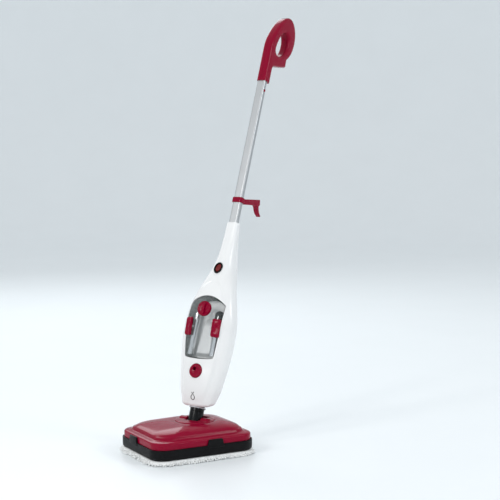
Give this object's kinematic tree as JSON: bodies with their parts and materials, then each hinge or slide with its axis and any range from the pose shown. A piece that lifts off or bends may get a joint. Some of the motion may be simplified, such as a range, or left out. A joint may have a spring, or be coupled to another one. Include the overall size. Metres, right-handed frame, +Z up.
{
  "type": "steam mop",
  "caption": "Upright steam mop with a domed swivelling floor head, white casing with clear water tank, aluminium pole, cord hooks and a D-shaped handle.",
  "frame": {"origin": "middle of the cleaning pad's flat underside, on the floor", "axes": "+Z up, the floor head's front is towards -Y and its right side, seen from behind the handle, is +X; the upper body is turned 27.4 degrees about +Z and leans back 20.3 degrees"},
  "size_m": [0.3385, 0.5803, 1.1093],
  "materials": {
    "crimson_plastic": "glossy crimson ABS",
    "white_plastic": "glossy white ABS",
    "black_plastic": "satin black polypropylene",
    "grey_plastic": "pale grey plastic",
    "rubber": "soft black rubber",
    "silicone": "translucent silicone hose",
    "clear_plastic": "smoky clear polycarbonate",
    "aluminium": "satin anodised",
    "cast_aluminium": "die-cast, rough",
    "steel": "zinc-plated steel",
    "silvered": "bright silvered plastic",
    "microfibre": "white looped microfibre",
    "hook_tape": "nylon hook tape",
    "board": "green circuit board",
    "lit_red": "translucent red rocker"
  },
  "bodies": {
    "head": {"cleaning_pad": "microfibre", "hook_tape_front": "hook_tape", "hook_tape_rear": "hook_tape", "sole_plate": "black_plastic", "base_frame": "black_plastic", "head_cover": "crimson_plastic", "steam_duct": "grey_plastic", "steam_bellows": "silicone", "turret_ring": "grey_plastic", "head_screw_1": "steel", "head_screw_2": "steel", "head_screw_3": "steel", "head_screw_4": "steel"},
    "turret": {"turret": "crimson_plastic", "tilt_pin_left": "steel", "tilt_pin_right": "steel"},
    "body": {"neck_tube": "black_plastic", "neck_hose": "silicone", "neck_seal": "rubber", "neck_collar": "grey_plastic", "front_shell": "white_plastic", "rear_shell": "white_plastic", "casing_screw_1": "steel", "casing_screw_2": "steel", "casing_screw_3": "steel", "casing_screw_4": "steel", "release_spring": "steel", "switch_bezel": "black_plastic", "switch_body": "black_plastic", "boiler_front": "cast_aluminium", "boiler_back": "cast_aluminium", "boiler_thermostat": "steel", "pump": "black_plastic", "control_board": "board", "tank_valve": "rubber", "hose_tank_to_pump": "silicone", "hose_pump_to_boiler": "silicone", "hose_boiler_to_neck": "silicone", "cord_gland": "rubber", "pole_tube": "aluminium", "pole_screw": "steel", "hook_collar": "crimson_plastic", "snap_spring": "steel", "handle_left": "crimson_plastic", "handle_right": "crimson_plastic", "handle_screw_1": "steel", "handle_screw_2": "steel"},
    "tank": {"water_tank": "clear_plastic", "guide_column_left": "silvered", "guide_column_right": "silvered", "latch_spring_left": "steel", "latch_spring_right": "steel"},
    "filler_plug": {"filler_seal": "rubber"},
    "cap": {"filler_cap": "crimson_plastic"},
    "left_latch": {"latch_left": "crimson_plastic"},
    "right_latch": {"latch_right": "crimson_plastic"},
    "steam_release_button": {"release_button": "crimson_plastic"},
    "rocker": {"switch_rocker": "lit_red"},
    "lower_cord_hook": {"cord_hook": "crimson_plastic"},
    "pole_snap_button": {"snap_button": "crimson_plastic"}
  },
  "joints": [
    {"name": "head_swivel", "type": "hinge", "parent": "head", "child": "turret", "pos_m": [0, 0.022, 0.074], "axis": [0, 0, 1], "range_deg": [-117.4, 62.6]},
    {"name": "neck_tilt", "type": "hinge", "parent": "turret", "child": "body", "pos_m": [0, 0.022, 0.074], "axis": [-0.8878, -0.4602, 0], "range_deg": [-20.3, 24.7]},
    {"name": "tank_slide", "type": "slide", "parent": "body", "child": "tank", "axis": [0.4316, -0.8327, 0.3469], "range_m": [0, 0.07]},
    {"name": "filler_plug_pull", "type": "slide", "parent": "tank", "child": "filler_plug", "axis": [0.4316, -0.8327, 0.3469], "range_m": [0, 0.025]},
    {"name": "filler_cap_turn", "type": "hinge", "parent": "filler_plug", "child": "cap", "pos_m": [-0.02006, 0.06069, 0.35322], "axis": [-0.4316, 0.8327, -0.3469], "range_deg": [0, 90]},
    {"name": "latch_left_press", "type": "slide", "parent": "tank", "child": "left_latch", "axis": [0.8878, 0.4602, 0], "range_m": [0, 0.002], "stiffness_N_per_m": 600, "springref_m": -0.002},
    {"name": "latch_right_press", "type": "slide", "parent": "tank", "child": "right_latch", "axis": [-0.8878, -0.4602, 0], "range_m": [0, 0.002], "stiffness_N_per_m": 600, "springref_m": -0.002},
    {"name": "release_button_press", "type": "slide", "parent": "body", "child": "steam_release_button", "axis": [-0.4316, 0.8327, -0.3469], "range_m": [0, 0.0035], "stiffness_N_per_m": 600, "springref_m": -0.003},
    {"name": "switch_rock", "type": "hinge", "parent": "body", "child": "rocker", "pos_m": [-0.05034, 0.11912, 0.44802], "axis": [0.8878, 0.4602, 0], "range_deg": [0, 14]},
    {"name": "cord_hook_turn", "type": "hinge", "parent": "body", "child": "lower_cord_hook", "pos_m": [-0.09382, 0.20299, 0.61647], "axis": [-0.4594, 0.8863, -0.0576], "range_deg": [0, 180]},
    {"name": "snap_button_press", "type": "slide", "parent": "body", "child": "pole_snap_button", "axis": [-0.8878, -0.4602, 0], "range_m": [0, 0.0025], "stiffness_N_per_m": 500, "springref_m": -0.002}
  ]
}
